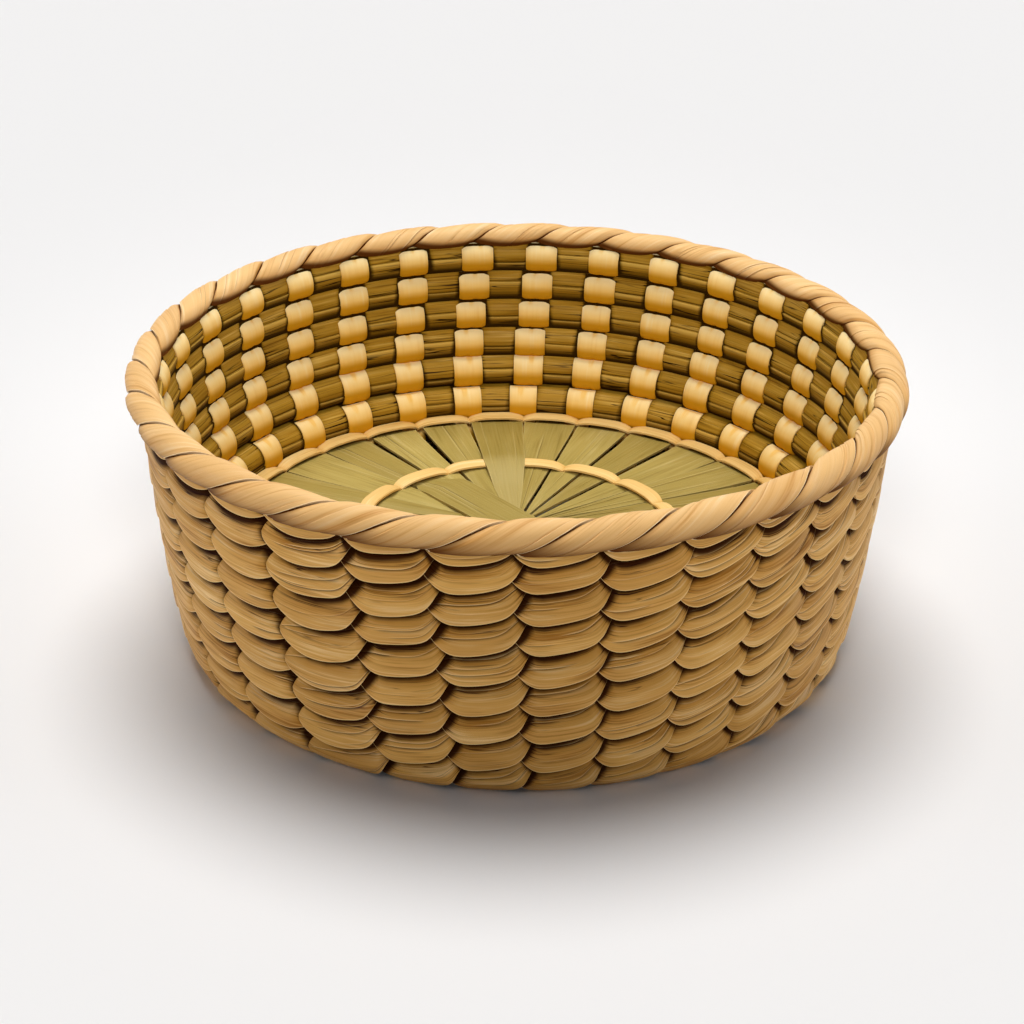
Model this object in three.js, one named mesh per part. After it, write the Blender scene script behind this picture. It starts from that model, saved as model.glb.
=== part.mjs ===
// Tortilla basket: rows of flat grass coils bound with leaf strips, a rope-like wrapped rim,
// and a raised floor of radial leaves held down by two strip rings.
// Millimetres, +Z up. The origin is on the table under the middle, and the front faces -Y.
import * as THREE from 'three';

// Layout of the weave
const COLUMN_COUNT = 31;          // bindings round each row, and leaves in the floor
const ROW_COUNT = 9;              // coils, from row 1 under the rim to the lowest row of the foot
const FOOT_ROW_COUNT = 3;         // rows below the floor, which lift it off the table
const ROW_PITCH = 10.7;           // height of one row
const TOP_ROW_HEIGHT = 8.1;       // row 1 is lower, as the rim sits on it

// Shape of the wall
const RIM_RADIUS = 125;           // outermost radius of the basket
const RIM_OVERHANG = 5.5;         // how far the rim stands out past the bindings under it
const FOOT_RADIUS = 105;          // outer radius where the wall meets the table, without the heel
const HEEL_INSET = 3.4;           // how far the lowest binding turns in under the wall
const OUTER_BOW = 0.52;           // under 1, the wall bows outward as it rises
const WALL_AT_RIM = 7;            // thickness of the wall under the rim
const WALL_AT_FLOOR = 16.5;       // thickness at the floor, where the inside rounds in
const FOOT_WALL = 14;             // thickness below the floor
const INNER_BOW = 4;              // power at which the wall thins from the floor up

// Leaf strips and clearances
const STRIP = 0.8;                // thickness of a binding strip
const CLEARANCE = 0.35;           // gap between neighbouring pieces
const BAND_SHARE = 0.46;          // share of a column that the band inside takes up
const TUCK = 1.4;                 // how far a binding's top edge is tucked in behind its face
const LIP_HANG = 0.8;             // how far a binding's lower lip laps over the row below
const LIP_RISE = 4.6;             // how much higher the lip is at the ends of a swag
const LIP_TILT = 1.9;             // how much higher it is toward a swag's right end
const LIP_PINCH = 0.9;            // how far the ends of a swag are drawn in
const LIP_GAP = 2.2;              // gap between a lip and the coil behind it
const BELLY_SHARE = 0.5;          // height of a swag's fullest part, as a share of its row
const COIL_ROUND = 1;             // how far a coil's edges are rounded back from its belly
const BAND_END = 0.8;             // height of a band's lower end above its row's bottom

// Wrapped rim
const RIM_WIDTH = 10.3;           // across the rope-like rim
const RIM_RISE = 5.7;             // top of the rim above row 1
const RIM_SKIRT = 7.1;            // how far the rim's wrap hangs down over row 1 outside
const WRAP = 1.6;                 // thickness of the rim's wrap
const WRAP_GROOVE = 0.8;          // depth of the grooves between the wrap's turns
const WRAP_SCALLOP = 2;           // how much higher the wrap's lower edge is at the grooves
const WRAP_LEAN = 1.5;            // columns that a turn of wrap slants over from lip to lip

// Floor
const LEAF_THICKNESS = 0.8;
const LEAF_GAP = 0.5;             // gap between neighbouring leaves
const LEAF_TIP_RADIUS = 7;        // where the leaves end at the middle
const LEAF_SEAT = 3;              // depth to which a leaf's tail sits on the coil below
const FLOOR_RISE = 7;             // rise of the floor from the wall to the middle
const CROSSING_LEAF = 19;         // the one broad leaf that runs on over the middle
const CROSSING_REACH = 13;        // how far it runs past the middle
const CROSSING_WIDTH = 15;
const RING_WIDTH = 4.6;           // width of both strip rings on the floor
const RING_HEIGHT = 2.2;          // arch of a ring over a leaf
const RING_PINCH = 1;             // how much lower a ring is between two leaves
const INNER_RING_RADIUS = 54;     // middle of the small ring
const INNER_ARCH_COUNT = 16;      // arches of the small ring, which go over two leaves each

const columnAngle = (2 * Math.PI) / COLUMN_COUNT;
const halfColumn = columnAngle / 2;
const halfBand = (columnAngle * BAND_SHARE) / 2;
const wallHeight = (ROW_COUNT - 1) * ROW_PITCH;
const floorHeight = FOOT_ROW_COUNT * ROW_PITCH;
const floorRow = ROW_COUNT - FOOT_ROW_COUNT;
const shoulderRadius = RIM_RADIUS - RIM_OVERHANG;

function plantFibre(color, roughness) {
  return new THREE.MeshStandardMaterial({ color, roughness, metalness: 0, flatShading: true });
}

const tan = plantFibre(0xcfa566, 0.62);
const paleTan = plantFibre(0xdcb77c, 0.58);
const olive = plantFibre(0x75601c, 0.66);
const leafGreen = plantFibre(0xa8994c, 0.6);

const basket = new THREE.Group();

function addPiece(name, geometry, material) {
  const piece = new THREE.Mesh(geometry, material);
  piece.name = name;
  basket.add(piece);
}

// Angles run from the front (-Y) toward +X.
function onRing(angle, radius, height) {
  return new THREE.Vector3(radius * Math.sin(angle), -radius * Math.cos(angle), height);
}

function solidFrom(points, triangles) {
  const geometry = new THREE.BufferGeometry().setFromPoints(points);
  geometry.setIndex(triangles);
  geometry.computeVertexNormals();
  return geometry;
}

// A ring of sections, each an anticlockwise loop of points, joined all the way round.
function ringLoft(sections) {
  const sides = sections[0].length;
  const triangles = [];
  for (let station = 0; station < sections.length; station++) {
    const here = station * sides;
    const next = ((station + 1) % sections.length) * sides;
    for (let side = 0; side < sides; side++) {
      const after = (side + 1) % sides;
      triangles.push(here + side, next + side, next + after);
      triangles.push(here + side, next + after, here + after);
    }
  }
  return solidFrom(sections.flat(), triangles);
}

// A strip of four-cornered sections with closed ends.
function stripLoft(sections) {
  const triangles = [];
  for (let station = 0; station < sections.length - 1; station++) {
    const here = station * 4;
    const next = here + 4;
    for (let side = 0; side < 4; side++) {
      const after = (side + 1) % 4;
      triangles.push(here + side, here + after, next + after);
      triangles.push(here + side, next + after, next + side);
    }
  }
  const end = (sections.length - 1) * 4;
  triangles.push(0, 2, 1, 0, 3, 2);
  triangles.push(end, end + 1, end + 2, end, end + 2, end + 3);
  return solidFrom(sections.flat(), triangles);
}

function rowBottom(row) {
  return (ROW_COUNT - row) * ROW_PITCH;
}

function rowTop(row) {
  return rowBottom(row) + (row === 1 ? TOP_ROW_HEIGHT : ROW_PITCH);
}

function outerRadius(height) {
  return FOOT_RADIUS + (shoulderRadius - FOOT_RADIUS) * (height / wallHeight) ** OUTER_BOW;
}

// Radius of the bands' faces inside: a rounded bowl above the floor, a plain skirt below it.
function innerRadius(height) {
  if (height < floorHeight) {
    return outerRadius(height) - FOOT_WALL;
  }
  const left = Math.max(0, 1 - (height - floorHeight) / (wallHeight - floorHeight));
  const wall = WALL_AT_RIM + (WALL_AT_FLOOR - WALL_AT_RIM) * left ** INNER_BOW;
  return outerRadius(height) - wall;
}

// Height of the slot over a row's coil, which the bands pass through, and at the floor the leaves
function slotHeight(row) {
  const fills = row === floorRow + 1 ? Math.max(STRIP, LEAF_THICKNESS) : STRIP;
  return fills + 2 * CLEARANCE;
}

// The sizes that a row's coil and its binding share. A coil has one corner behind each band, so
// its flats are nearer the middle at the band's edges than at its corners.
function rowSizes(row) {
  const bottom = rowBottom(row);
  const top = rowTop(row);
  const coilTop = top - slotHeight(row);
  const flatAtBand = Math.cos(halfColumn) / Math.cos(halfColumn - halfBand);
  const bandFace = innerRadius((bottom + top) / 2);
  const coilInner = (bandFace + STRIP + CLEARANCE) / flatAtBand;
  const tuckRadius = outerRadius(top) - TUCK;
  const lipRadius = outerRadius(bottom) - (row === ROW_COUNT ? HEEL_INSET : 0);
  const coilOuter = (tuckRadius - STRIP) * Math.cos(halfBand) - CLEARANCE;
  const coilHeel = Math.min(coilOuter, lipRadius - LIP_GAP);
  const isRounded = row > 1 && row < floorRow;
  const rounded = isRounded ? Math.min(COIL_ROUND, (coilHeel - coilInner) / 2) : 0;
  const middle = (bottom + coilTop) / 2;
  return {
    bottom, top, middle, rounded, bandFace, tuckRadius, lipRadius, coilTop, coilInner, coilOuter, coilHeel,
  };
}

// One flat bundle of grass, seen inside between the bands. The rows between the rim and the lowest
// row inside are rounded.
function grassCoil(row) {
  const size = rowSizes(row);
  const edge = size.coilInner + size.rounded;
  const profile = [
    new THREE.Vector2(edge, size.bottom),
    new THREE.Vector2(size.coilHeel, size.bottom),
    new THREE.Vector2(size.coilOuter, size.coilTop),
    new THREE.Vector2(edge, size.coilTop),
  ];
  if (size.rounded > 0) {
    profile.push(new THREE.Vector2(size.coilInner, size.middle));
  }
  profile.push(profile[0].clone());
  return new THREE.LatheGeometry(profile, COLUMN_COUNT).rotateX(Math.PI / 2);
}

// One row of binding. Outside, swags hang from a tucked-in top edge and are drawn in where they
// meet. There the strip goes over the coil and down its inner side as a band.
function binding(row) {
  const size = rowSizes(row);
  const lipHeight = Math.max(size.bottom - LIP_HANG, CLEARANCE);
  const bellyHeight = size.bottom + (size.top - size.bottom) * BELLY_SHARE;
  const stripTop = size.top - CLEARANCE;
  const stripUnder = stripTop - STRIP;
  const { lerp } = THREE.MathUtils;
  const meetHeight = lipHeight + LIP_RISE;
  const drawnIn = lerp(size.lipRadius, size.tuckRadius, LIP_RISE / (stripTop - lipHeight)) - LIP_PINCH;
  const coilShare = (meetHeight - size.bottom) / (size.coilTop - size.bottom);
  const coilThere = lerp(size.coilHeel, size.coilOuter, coilShare);
  const meetRadius = Math.max(drawnIn, coilThere + CLEARANCE);
  const edge = size.bandFace + size.rounded;
  const faceSide = [[size.tuckRadius, stripTop], [edge, stripTop]];
  const coilSide = [[size.tuckRadius - STRIP, stripUnder], [edge + STRIP, stripUnder]];
  if (size.rounded > 0) {
    faceSide.push([size.bandFace, size.middle]);
    coilSide.push([size.bandFace + STRIP, size.middle]);
  }
  const bandEnd = [edge, size.bottom + BAND_END];
  const loop = [...faceSide, bandEnd, ...coilSide.reverse()];

  // The points of one column: the band's near and far edges, then the swag up to the next band
  const bends = faceSide.length;
  const under = loop.length - 1;
  const swagPoints = 5;
  const columnPoints = 2 * loop.length + swagPoints;
  const points = [];
  const triangles = [];
  for (let column = 0; column < COLUMN_COUNT; column++) {
    const middle = column * columnAngle;
    for (const angle of [middle - halfBand, middle + halfBand]) {
      points.push(...loop.map(([radius, height]) => onRing(angle, radius, height)));
    }
    points.push(onRing(middle, meetRadius, meetHeight));
    for (const [share, lift] of [[1 / 3, 0], [2 / 3, LIP_TILT]]) {
      const angle = middle + columnAngle * share;
      points.push(onRing(angle, size.lipRadius, lipHeight + lift));
      points.push(onRing(angle, outerRadius(bellyHeight), bellyHeight + lift / 2));
    }

    const near = column * columnPoints;
    const far = near + loop.length;
    const meet = far + loop.length;
    const [lip1, belly1, lip2, belly2] = [1, 2, 3, 4].map((step) => meet + step);
    const after = ((column + 1) % COLUMN_COUNT) * columnPoints;
    const meetAfter = after + 2 * loop.length;

    // Across the band, from its top edge round the coil, and on to where two swags meet
    for (let side = 0; side < under; side++) {
      triangles.push(near + side, far + side, far + side + 1);
      triangles.push(near + side, far + side + 1, near + side + 1);
    }
    triangles.push(near + under, far + under, meet, meet, far, near);
    // The band's two edges, which end in a point
    for (let bend = 0; bend < bends; bend++) {
      const back = under - bend;
      triangles.push(far + back, far + back - 1, far + bend);
      triangles.push(near + bend, near + back - 1, near + back);
      if (bend + 1 < back - 1) {
        triangles.push(far + back - 1, far + bend + 1, far + bend);
        triangles.push(near + bend, near + bend + 1, near + back - 1);
      }
    }
    // The swag's top edge and its hidden back
    triangles.push(far, after, after + under, far, after + under, far + under);
    triangles.push(far + under, after + under, lip2, after + under, meetAfter, lip2);
    triangles.push(far + under, lip2, lip1, far + under, lip1, meet);
    // The swag's face
    triangles.push(meet, lip1, belly1, lip1, lip2, belly2, lip1, belly2, belly1);
    triangles.push(lip2, meetAfter, belly2, meet, belly1, far);
    triangles.push(belly1, belly2, after, belly1, after, far, belly2, meetAfter, after);
  }
  return solidFrom(points, triangles);
}

// Sizes of the rim, which straddles row 1 and hangs down outside it
function rimSizes() {
  const seat = rowTop(1);
  const skirt = seat - RIM_SKIRT;
  return {
    seat,
    skirt,
    skirtRadius: outerRadius(skirt) + 2 * CLEARANCE,
    inner: RIM_RADIUS - RIM_WIDTH,
    middle: RIM_RADIUS - RIM_WIDTH / 2,
    top: seat + RIM_RISE,
    side: seat + RIM_RISE / 5,
  };
}

// A plain ring of grass that fills the rim
function rimCore() {
  const rim = rimSizes();
  const bottom = rim.seat + CLEARANCE;
  const top = rim.top - WRAP - WRAP_GROOVE - CLEARANCE;
  const reach = RIM_WIDTH / 2 - WRAP - WRAP_GROOVE - 2 * CLEARANCE;
  const profile = [
    new THREE.Vector2(rim.middle - reach, bottom),
    new THREE.Vector2(rim.middle + reach, bottom),
    new THREE.Vector2(rim.middle + reach / 2, top),
    new THREE.Vector2(rim.middle - reach / 2, top),
  ];
  profile.push(profile[0].clone());
  return new THREE.LatheGeometry(profile, COLUMN_COUNT).rotateX(Math.PI / 2);
}

// The strip wound round the rim: one slanting lobe in each column, drawn in at the grooves, open
// below where it straddles row 1
function rimWrap() {
  const rim = rimSizes();
  const wall = WRAP + WRAP_GROOVE;
  const sections = [];
  for (let half = 0; half < 2 * COLUMN_COUNT; half++) {
    const groove = half % 2 === 0 ? WRAP_GROOVE : 0;
    const scallop = half % 2 === 0 ? WRAP_SCALLOP : 0;
    const outside = [
      [rim.skirtRadius, rim.skirt + scallop],
      [RIM_RADIUS - groove, rim.side],
      [rim.middle + RIM_WIDTH / 3, (rim.side + 3 * rim.top) / 4 - groove],
      [rim.middle, rim.top - groove],
      [rim.inner + groove, rim.side],
      [rim.inner + WRAP, rim.seat + CLEARANCE],
    ];
    const inside = [
      [rim.middle - RIM_WIDTH / 6, rim.top - wall],
      [rim.middle + RIM_WIDTH / 6, rim.top - wall],
      [RIM_RADIUS - wall, rim.side],
    ];
    const lean = (share) => half * halfColumn + share * WRAP_LEAN * columnAngle;
    const wound = outside.map(([radius, height], step) => (
      onRing(lean(step / (outside.length - 1)), radius, height)
    ));
    const back = inside.map(([radius, height], step) => (
      onRing(lean(1 - (step + 1) / (inside.length + 1)), radius, height)
    ));
    sections.push([...wound, ...back]);
  }
  return ringLoft(sections);
}

// Height of the leaves' middle plane at a radius: a low cone, level where the tails lie in the wall
function floorAt(radius) {
  const level = floorHeight - slotHeight(floorRow + 1) / 2;
  return level + FLOOR_RISE * Math.max(0, 1 - radius / outerRadius(floorHeight));
}

// Width of a leaf between its neighbours at a radius
function leafWidth(radius) {
  return 2 * radius * Math.tan(halfColumn) - LEAF_GAP;
}

function leafSection(angle, radius, width, height) {
  const outward = onRing(angle, radius, 0);
  const sideways = onRing(angle + Math.PI / 2, width / 2, 0);
  const corner = (side, level) => outward.clone().addScaledVector(sideways, side).setZ(level);
  const low = height - LEAF_THICKNESS / 2;
  const high = height + LEAF_THICKNESS / 2;
  return [corner(-1, low), corner(1, low), corner(1, high), corner(-1, high)];
}

// One leaf of the floor, from its tip to a narrow tail between the two rows at the floor
function floorLeaf(leaf) {
  const angle = (leaf - 0.5) * columnAngle;
  const below = rowSizes(floorRow + 1);
  const neck = below.bandFace - 2 * CLEARANCE;
  const shoulder = neck - RING_WIDTH / 2;
  const neckWidth = 2 * neck * Math.sin(halfColumn - halfBand) - 2 * CLEARANCE;
  const tail = below.coilInner + LEAF_SEAT;
  const level = floorAt(outerRadius(floorHeight));
  const sections = [];
  if (leaf === CROSSING_LEAF) {
    const lift = LEAF_THICKNESS + CLEARANCE;
    const landing = INNER_RING_RADIUS - RING_WIDTH;
    const drop = landing - RING_WIDTH;
    sections.push(leafSection(angle, -CROSSING_REACH, CROSSING_WIDTH, floorAt(0) + lift));
    sections.push(leafSection(angle, LEAF_TIP_RADIUS, CROSSING_WIDTH, floorAt(0) + lift));
    sections.push(leafSection(angle, drop, leafWidth(drop), floorAt(drop) + lift));
    sections.push(leafSection(angle, landing, leafWidth(landing), floorAt(landing)));
  } else {
    const tip = LEAF_TIP_RADIUS;
    sections.push(leafSection(angle, tip, leafWidth(tip), floorAt(tip)));
  }
  sections.push(leafSection(angle, shoulder, leafWidth(shoulder), floorAt(shoulder)));
  sections.push(leafSection(angle, neck, neckWidth, level));
  sections.push(leafSection(angle, tail, neckWidth, level));
  return stripLoft(sections);
}

// A strip ring that arches over the leaves and dips between its arches
function floorRing(radius, archCount) {
  const sections = [];
  for (let half = 0; half < 2 * archCount; half++) {
    const crown = RING_HEIGHT - (half % 2 === 0 ? RING_PINCH : 0);
    const reach = RING_WIDTH / 2;
    const corners = [[radius - reach, 0], [radius + reach, 0], [radius, crown]];
    sections.push(corners.map(([at, rise]) => {
      const seat = floorAt(radius - reach) + LEAF_THICKNESS / 2 + CLEARANCE;
      return onRing((half * Math.PI) / archCount, at, seat + rise);
    }));
  }
  return ringLoft(sections);
}

for (let leaf = 1; leaf <= COLUMN_COUNT; leaf++) {
  addPiece(`floor_leaf_${String(leaf).padStart(2, '0')}`, floorLeaf(leaf), leafGreen);
}
const outerRingRadius = rowSizes(floorRow).bandFace - RING_WIDTH / 2 - CLEARANCE;
addPiece('floor_ring_inner', floorRing(INNER_RING_RADIUS, INNER_ARCH_COUNT), tan);
addPiece('floor_ring_outer', floorRing(outerRingRadius, COLUMN_COUNT), tan);
for (let row = 1; row <= ROW_COUNT; row++) {
  addPiece(`grass_coil_${row}`, grassCoil(row), olive);
  addPiece(`binding_row_${row}`, binding(row), tan);
}
addPiece('rim_core', rimCore(), olive);
addPiece('rim_wrap', rimWrap(), paleTan);

export default basket;
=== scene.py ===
# Tortilla basket: tan binding strips, olive grass coils, a wrapped rim and a floor of leaves. Every strip,
# blade and leaf is its own sheet of mesh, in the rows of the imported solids. As in the photograph, the bands
# and the floor are turned a little from the solids, and the columns outside lean and spread.
# Lengths are in millimetres until a mesh is made. Angles run from the front (-Y) toward +X.
import math

import bpy
import numpy as np
from mathutils import Matrix, Vector


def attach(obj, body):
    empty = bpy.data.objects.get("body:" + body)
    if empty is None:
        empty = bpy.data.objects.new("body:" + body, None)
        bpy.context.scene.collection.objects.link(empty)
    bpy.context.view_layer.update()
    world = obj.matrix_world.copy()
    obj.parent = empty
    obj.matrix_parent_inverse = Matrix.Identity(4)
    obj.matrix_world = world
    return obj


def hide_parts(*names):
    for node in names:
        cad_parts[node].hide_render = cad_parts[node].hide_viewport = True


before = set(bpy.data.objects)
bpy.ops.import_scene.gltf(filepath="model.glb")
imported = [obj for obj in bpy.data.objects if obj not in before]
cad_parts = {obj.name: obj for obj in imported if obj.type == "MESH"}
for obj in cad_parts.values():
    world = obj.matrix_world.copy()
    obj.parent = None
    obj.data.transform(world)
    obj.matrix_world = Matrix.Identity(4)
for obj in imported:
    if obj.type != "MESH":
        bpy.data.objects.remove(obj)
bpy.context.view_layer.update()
MM = 0.001
RANDOM_SEED = 31
rng = np.random.default_rng(RANDOM_SEED)

# Sizes that the solids share
COLUMNS = 31                      # bindings round each row, and leaves in the floor
ROWS = 9                          # from row 1 under the rim to the lowest row of the foot
FOOT_ROWS = 3
ROW_PITCH = 10.7
TOP_ROW_HEIGHT = 8.1
SHOULDER_RADIUS = 119.5           # outer radius under the rim
FOOT_RADIUS = 105.0
HEEL_INSET = 3.4                  # how far the lowest swags turn in under the wall
OUTER_BOW = 0.52                  # under 1, the wall bows outward as it rises
WALL_AT_RIM = 7.0
WALL_AT_FLOOR = 16.5
FOOT_WALL = 14.0
INNER_BOW = 4
STRIP = 0.8
BAND_SHARE = 0.46                 # share of a column that a band inside takes up
LIP_HANG = 0.8
FLOOR_RISE = 7.0                  # from the wall to the middle
LEAF_TIP_RADIUS = 7.0
CROSSING_LEAF = 19                # the one broad leaf that runs on over the middle
CROSSING_REACH = 13.0
RING_WIDTH = 4.6
RING_HEIGHT = 2.2
INNER_RING_RADIUS = 54.0
INNER_ARCHES = 16

# Sizes that follow from them
COLUMN = 2 * math.pi / COLUMNS
HALF_BAND = COLUMN * BAND_SHARE / 2
WALL_HEIGHT = (ROWS - 1) * ROW_PITCH
FLOOR_HEIGHT = FOOT_ROWS * ROW_PITCH
FOOT_COLUMN = FOOT_RADIUS * COLUMN    # width of a column at the foot

# Turns of the weave, in columns
SPREAD = 0.2                      # how far the columns outside are pushed toward the back
SPREAD_TURN = -0.05
SWAG_LEAN = 0.035                 # turn of each row of swags past the row above
LEAN_ENDS = (-20, 26)             # degrees from the front between which the lean dies out
LEAN_STOPS = (150, 180)           # and toward the back
LEAN_FROM_ROW = 2
BAND_TURN = 0.13
BAND_LEAN = 0.046                 # turn of each row of bands past the row above
FLOOR_TURN = 0.36

# Marks on a sheet
OPEN = 9.0                        # distance that stands for no edge near
FOLD_STEP = 0.006                 # half the width of a fold's edge, as a share of the strip
FOLD_UNDER = 0.06                 # width of the painted shade under it
FOLD_OVER = 0.025                 # width of the painted highlight over it
FOLD_REACH = (0.3, 0.9)
FOLD_FADE = 0.25
FOLD_STRENGTH = (0.5, 1)
SHARP_ANGLE = math.radians(48)

# Where the numbers of each kind of strip start, so that each kind has tints of its own
BAND_NUMBERS = 20
COIL_NUMBERS = 40
BLADE_NUMBER_STEP = 0.13
LOBE_NUMBERS = 60
LEAF_NUMBERS = 80
RING_NUMBERS = 100

# A swag's outline, as columns along and rows up from its left tip's column and its row's bottom. Where its
# right end laps over the next swag, its left end is a tip that comes out from under the last one. On the
# left side of the basket its left end laps over the last swag, and its right end is tucked in.
RIGHT_OVER_LOWER = np.array([
    (-0.05, 0.56), (0.0, 0.44), (0.063, 0.26), (0.158, 0.087), (0.242, 0.015), (0.35, 0.0), (0.526, 0.043),
    (0.737, 0.145), (0.874, 0.246), (0.968, 0.377), (1.037, 0.565), (1.105, 0.826), (1.15, 1.0), (1.2, 1.25)])
RIGHT_OVER_UPPER = np.array([
    (-0.06, 0.62), (-0.03, 1.0), (0.05, 1.45), (0.3, 1.5), (0.6, 1.5), (0.9, 1.6), (1.2, 1.62)])
LEFT_OVER_LOWER = np.array([
    (-0.085, 0.68), (-0.075, 0.54), (-0.045, 0.41), (0.015, 0.28), (0.11, 0.15), (0.24, 0.05), (0.42, 0.0),
    (0.6, 0.02), (0.76, 0.09), (0.87, 0.18), (0.95, 0.27), (1.0, 0.36), (1.03, 0.45), (1.06, 0.56)])
LEFT_OVER_UPPER = np.array([
    (-0.085, 0.72), (-0.06, 0.9), (0.01, 1.09), (0.15, 1.3), (0.5, 1.5), (0.98, 1.4), (1.07, 0.62)])
SLANTED_LOWER = np.array([
    (-0.05, 0.5), (0.0, 0.36), (0.05, 0.2), (0.12, 0.07), (0.2, 0.0), (0.32, 0.02), (0.5, 0.13),
    (0.7, 0.32), (0.85, 0.5), (0.97, 0.68), (1.06, 0.86), (1.12, 1.02), (1.17, 1.2), (1.2, 1.4)])
SLANTED_UPPER = np.array([
    (-0.06, 0.56), (-0.03, 1.0), (0.05, 1.4), (0.3, 1.5), (0.6, 1.75), (0.9, 2.0), (1.2, 2.1)])
LEFT_END_POINTS = 6               # points of a lower outline that make its left end
RIGHT_END_FROM = 8                # first point of its right end
SWAG_MIDDLE = (0.25, 0.6)         # columns between which the left end passes into the right end
LAP_TURNS_OVER = (180, 330)       # degrees between which a swag's left end laps over the last swag
SLANT_FROM = (12, 42, 150, 200)   # degrees between which the swags turn aslant and back
SWAG_STEPS = 30
SWAG_ROWS = [0, 0.02, 0.06, 0.12, 0.2, 0.28, 0.36, 0.44, 0.52, 0.6, 0.68, 0.78, 0.9, 1]
SWAG_BACK_ROWS = 6
LIP_RISE = 0.6                    # how far the lips of rows 2 to 8 are above their row's foot

# How a swag stands out from the wall
LIP_OUT = 1.45
LAP_OUT = 0.3                     # more where its right end laps over
LAP_FROM = (0.3, 1.2)
END_TUCK = 1.2                    # less at an end that is covered
LEFT_TUCK = (-0.06, 0.34)
RIGHT_TUCK = (0.68, 1.06)
FACE_SLOPE = 1.1                  # less up the face
FACE_BOW = 1.3
TOP_TUCK = 2.5                    # less under the row above
TOP_FROM = (0.55, 1.25)
CORNER_TUCK = 1.3                 # less in the corner where a covered end meets the row above
LEFT_CORNER_ENDS = (0.05, 0.4)
RIGHT_CORNER_ENDS = (0.62, 0.98)
CORNER_FROM = (0.5, 1.0)
DEEPEST_TUCK = -3.0
OUT_WOBBLE = 0.2
SAG_WOBBLE = 0.05
TURN_WOBBLE = 0.015
TOP_ROW_FLATTER = 0.6             # row 1 is flat, as the rim hangs over it
TOP_ROW_GAP = 0.5
HEEL_LIFT = 0.4                   # clearance of the lowest lips from the table
HEEL_LIFT_ENDS = (0, 0.3)
HEEL_ENDS = (-0.1, 0.85)
HEEL_BOW = 1.2

# A swag's folds and shading
SWAG_FOLDS = 3
SLANT_FOLDS = 2.5                 # more where it lies aslant
SWAG_FOLD_PLACES = (0.1, 0.62)
SWAG_FOLD_DEPTH = 0.45
SLANT_FOLD_DEPTH = 0.15
GRAIN_LEVEL = 0.3                 # share of the lower edge's curve that the grain follows
GRAIN_LAP = 0.4
EDGE_FADE = 0.3                   # how far the painted highlight on the edge is faded at a right end that laps over
EDGE_FADE_RISE = (0.5, 0.85)
NEXT_EDGE = 1.2                   # how far the painted shade beside the next swag's end is cut short
LEFT_CORNER = (0.13, 1.0)         # corners painted dark with shade, in columns and rows
RIGHT_CORNER = (0.9, 1.02)
CORNER_SIZE = 0.6

# Bands and grass inside
INSIDE_DROP = 2.3                 # how much lower the rows lie than outside
INSIDE_TOP = 93.6                 # where row 1 goes in under the rim
INSIDE_SKIN = 4.4                 # least distance in from the wall's outer radius
BUNDLE_LEAN = 1.6
BUNDLE_ROUND = 1.1
BAND_STEPS = 15
BAND_ACROSS = 15
BAND_DEPTH = 3.3                  # how far a band's ends go back round the coil
BAND_REACH = 0.97
BAND_OVERHANG = 0.05
BAND_EDGE = 0.9                   # how far its sides are rounded back
BAND_EDGE_POWER = 5
BAND_NARROWS = 0.05
BAND_WIDTHS = (0.98, 1.08)
BAND_WOBBLE = 0.004
NOTCH_PLACE = 0.25                # how far from a band's middle the crease in its ends may lie
NOTCH_WIDTH = 0.14
NOTCH_FROM = 0.3
NOTCH_DEPTH = 0.5
# Painted shade in the crease at a band's ends
NOTCH_MARK = 0.5
SHINE = (0.2, 0.6)                # painted highlight at a band's foot, and how much more at its top
SHINE_ENDS = (-0.4, 0.9)
LOW_ROW_SHINE = 0.15
BAND_SHADE = (0.6, 0.5, 4.4)      # painted shade toward a band's foot: distance part way down, how far below the middle, and growth
LOW_ROW_SHADE = 0.45
LEAST_SHADE = 0.3
LEVEL_ROW = 4                     # rows below this face up more, and get more painted shade and less painted highlight for it
BLADES = 3
BLADE_ROWS = np.array([0.0, 0.03, 0.1, 0.25, 0.5, 0.75, 0.9, 0.97])
COIL_STEPS = 10
COIL_DEPTH = 4.2
COIL_OVERHANG = -0.1
COIL_SET_BACK = 0.9               # how far the grass is behind the bands' faces
COIL_WALL = 0.4                   # least thickness of a coil
FIRST_GROOVE = (-0.25, 0.2)       # turns round the coil at which one blade passes into the next
SECOND_GROOVE = (0.42, 0.62)
FIRST_GROOVE_SHOWN = (0.75, 1)    # shares of the depth that a groove has from gap to gap
SECOND_GROOVE_SHOWN = (0, 0.7)
FIRST_RIDGE_SHOWN = (0.6, 1)
SECOND_RIDGE_SHOWN = (0, 0.5)
GROOVE_WIDTH = 0.16
GROOVE_DEPTH = 0.6
RIDGE_WIDTH = 0.2
RIDGE_HEIGHT = 0.15
CINCH = 0.3                       # how far the grass is drawn in beside a band
CINCH_WIDTH = 0.035
BESIDE_BAND = (0.9, 3.5)          # painted shade beside a band: distance at its edge, and how fast it grows
# How much more painted shade a coil gets in each lower row
LOW_ROW_COIL = 0.1
# Painted shade toward a coil's foot, as a distance for turns round the coil
COIL_SHADE = np.array([
    (-1, 0.9), (-0.7, 1.4), (-0.5, 2.1), (-0.3, 2.65), (0, 3.3), (0.35, 5.0), (0.65, 7.0)])

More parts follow.
